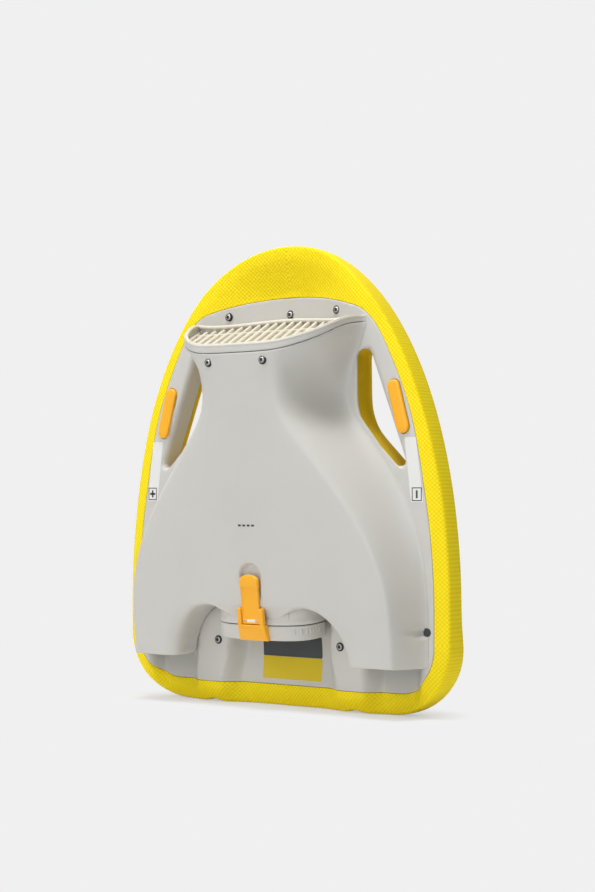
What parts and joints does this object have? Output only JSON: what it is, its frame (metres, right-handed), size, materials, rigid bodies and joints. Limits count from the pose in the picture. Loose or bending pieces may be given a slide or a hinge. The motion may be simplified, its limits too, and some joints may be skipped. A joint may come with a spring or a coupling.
{
  "type": "powered kickboard",
  "caption": "Flat foam swim board with a bell-shaped drive housing on its underside: intake grille at the nose end, water jets at the tail, grips with speed buttons and a latched battery bay.",
  "frame": {"origin": "middle of the tail edge, where the standing board meets the ground", "axes": "+X to the board's right seen from the housing side, +Y from the housing back to the deck, +Z from tail to nose"},
  "size_m": [0.408, 0.114, 0.478],
  "materials": {
    "foam": "closed-cell foam with an embossed knit skin",
    "grey_plastic": "satin moulding",
    "cream_plastic": "satin moulding",
    "orange_plastic": "satin moulding",
    "dark_plastic": "fine grain",
    "battery_cells": "shrink-wrapped cells",
    "circuit_board": "solder mask",
    "seal_rubber": "matt",
    "steel": "turned",
    "motor_can": "coated can"
  },
  "bodies": {
    "main": {"foam_board": "foam", "base_shell": "grey_plastic", "housing_cover": "grey_plastic", "intake_frame": "grey_plastic", "intake_grille": "cream_plastic", "left_button_tray": "dark_plastic", "right_button_tray": "dark_plastic", "left_button_spring": "steel", "right_button_spring": "steel", "battery_case": "grey_plastic", "battery_pack": "battery_cells", "battery_contacts": "dark_plastic", "control_board": "circuit_board", "lid_hinge_pin": "steel", "latch_keeper": "grey_plastic", "led_lenses": "dark_plastic", "left_duct": "dark_plastic", "right_duct": "dark_plastic", "left_motor": "motor_can", "right_motor": "motor_can", "left_shaft_seal": "seal_rubber", "right_shaft_seal": "seal_rubber", "flange_screws": "steel", "cover_screws": "steel", "tail_screws": "steel", "side_screws": "steel", "screw_inserts": "dark_plastic"},
    "left_button": {"left_button": "orange_plastic"},
    "right_button": {"right_button": "orange_plastic"},
    "battery_lid": {"battery_lid": "grey_plastic", "lid_gasket": "seal_rubber", "latch_frame": "orange_plastic", "latch_pin": "steel"},
    "latch_lever": {"latch_lever": "orange_plastic"},
    "left_propeller": {"left_propeller": "orange_plastic", "left_shaft": "steel"},
    "right_propeller": {"right_propeller": "orange_plastic", "right_shaft": "steel"}
  },
  "joints": [
    {"name": "left_button_press", "type": "slide", "parent": "main", "child": "left_button", "axis": [0, 1, 0], "range_m": [0, 0.002], "stiffness_N_per_m": 300, "springref_m": -0.001, "deforming": ["left_button_spring"]},
    {"name": "right_button_press", "type": "slide", "parent": "main", "child": "right_button", "axis": [0, 1, 0], "range_m": [0, 0.002], "stiffness_N_per_m": 300, "springref_m": -0.001, "deforming": ["right_button_spring"]},
    {"name": "lid_hinge", "type": "hinge", "parent": "main", "child": "battery_lid", "pos_m": [0, 0.03544, 0.08194], "axis": [1, 0, 0], "range_deg": [0, 45]},
    {"name": "latch_hinge", "type": "hinge", "parent": "battery_lid", "child": "latch_lever", "pos_m": [0, -0.02796, 0.09097], "axis": [1, 0, 0], "range_deg": [0, 75]},
    {"name": "left_propeller_spin", "type": "hinge", "parent": "main", "child": "left_propeller", "pos_m": [-0.1435, 0.0105, 0.11], "axis": [0, 0, 1], "continuous": true},
    {"name": "right_propeller_spin", "type": "hinge", "parent": "main", "child": "right_propeller", "pos_m": [0.1435, 0.0105, 0.11], "axis": [0, 0, 1], "continuous": true}
  ]
}
